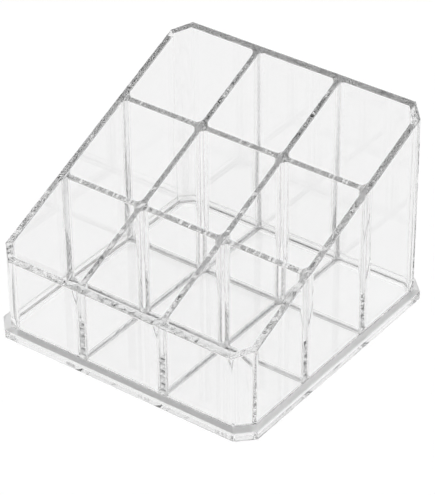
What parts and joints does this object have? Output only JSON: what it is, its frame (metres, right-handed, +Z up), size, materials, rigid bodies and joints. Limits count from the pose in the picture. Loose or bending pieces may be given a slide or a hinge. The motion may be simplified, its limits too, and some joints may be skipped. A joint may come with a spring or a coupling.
{
  "type": "vanity organizer",
  "caption": "Clear plastic cosmetics organizer with open square pockets under one sloping rim, cut corners and a low bevelled foot.",
  "frame": {"origin": "middle of the foot's underside, on the surface that the organizer stands on", "axes": "+X to the right seen from the front, +Y from the low front wall to the high back wall, +Z up"},
  "size_m": [0.095, 0.095, 0.0669],
  "materials": {
    "clear_plastic": "polished, transparent and colourless"
  },
  "bodies": {
    "root": {"base_plate": "clear_plastic", "front_wall": "clear_plastic", "front_right_corner": "clear_plastic", "right_wall": "clear_plastic", "back_right_corner": "clear_plastic", "back_wall": "clear_plastic", "back_left_corner": "clear_plastic", "left_wall": "clear_plastic", "front_left_corner": "clear_plastic", "left_long_divider": "clear_plastic", "right_long_divider": "clear_plastic", "front_cross_divider_left": "clear_plastic", "front_cross_divider_middle": "clear_plastic", "front_cross_divider_right": "clear_plastic", "back_cross_divider_left": "clear_plastic", "back_cross_divider_middle": "clear_plastic", "back_cross_divider_right": "clear_plastic"}
  },
  "joints": []
}
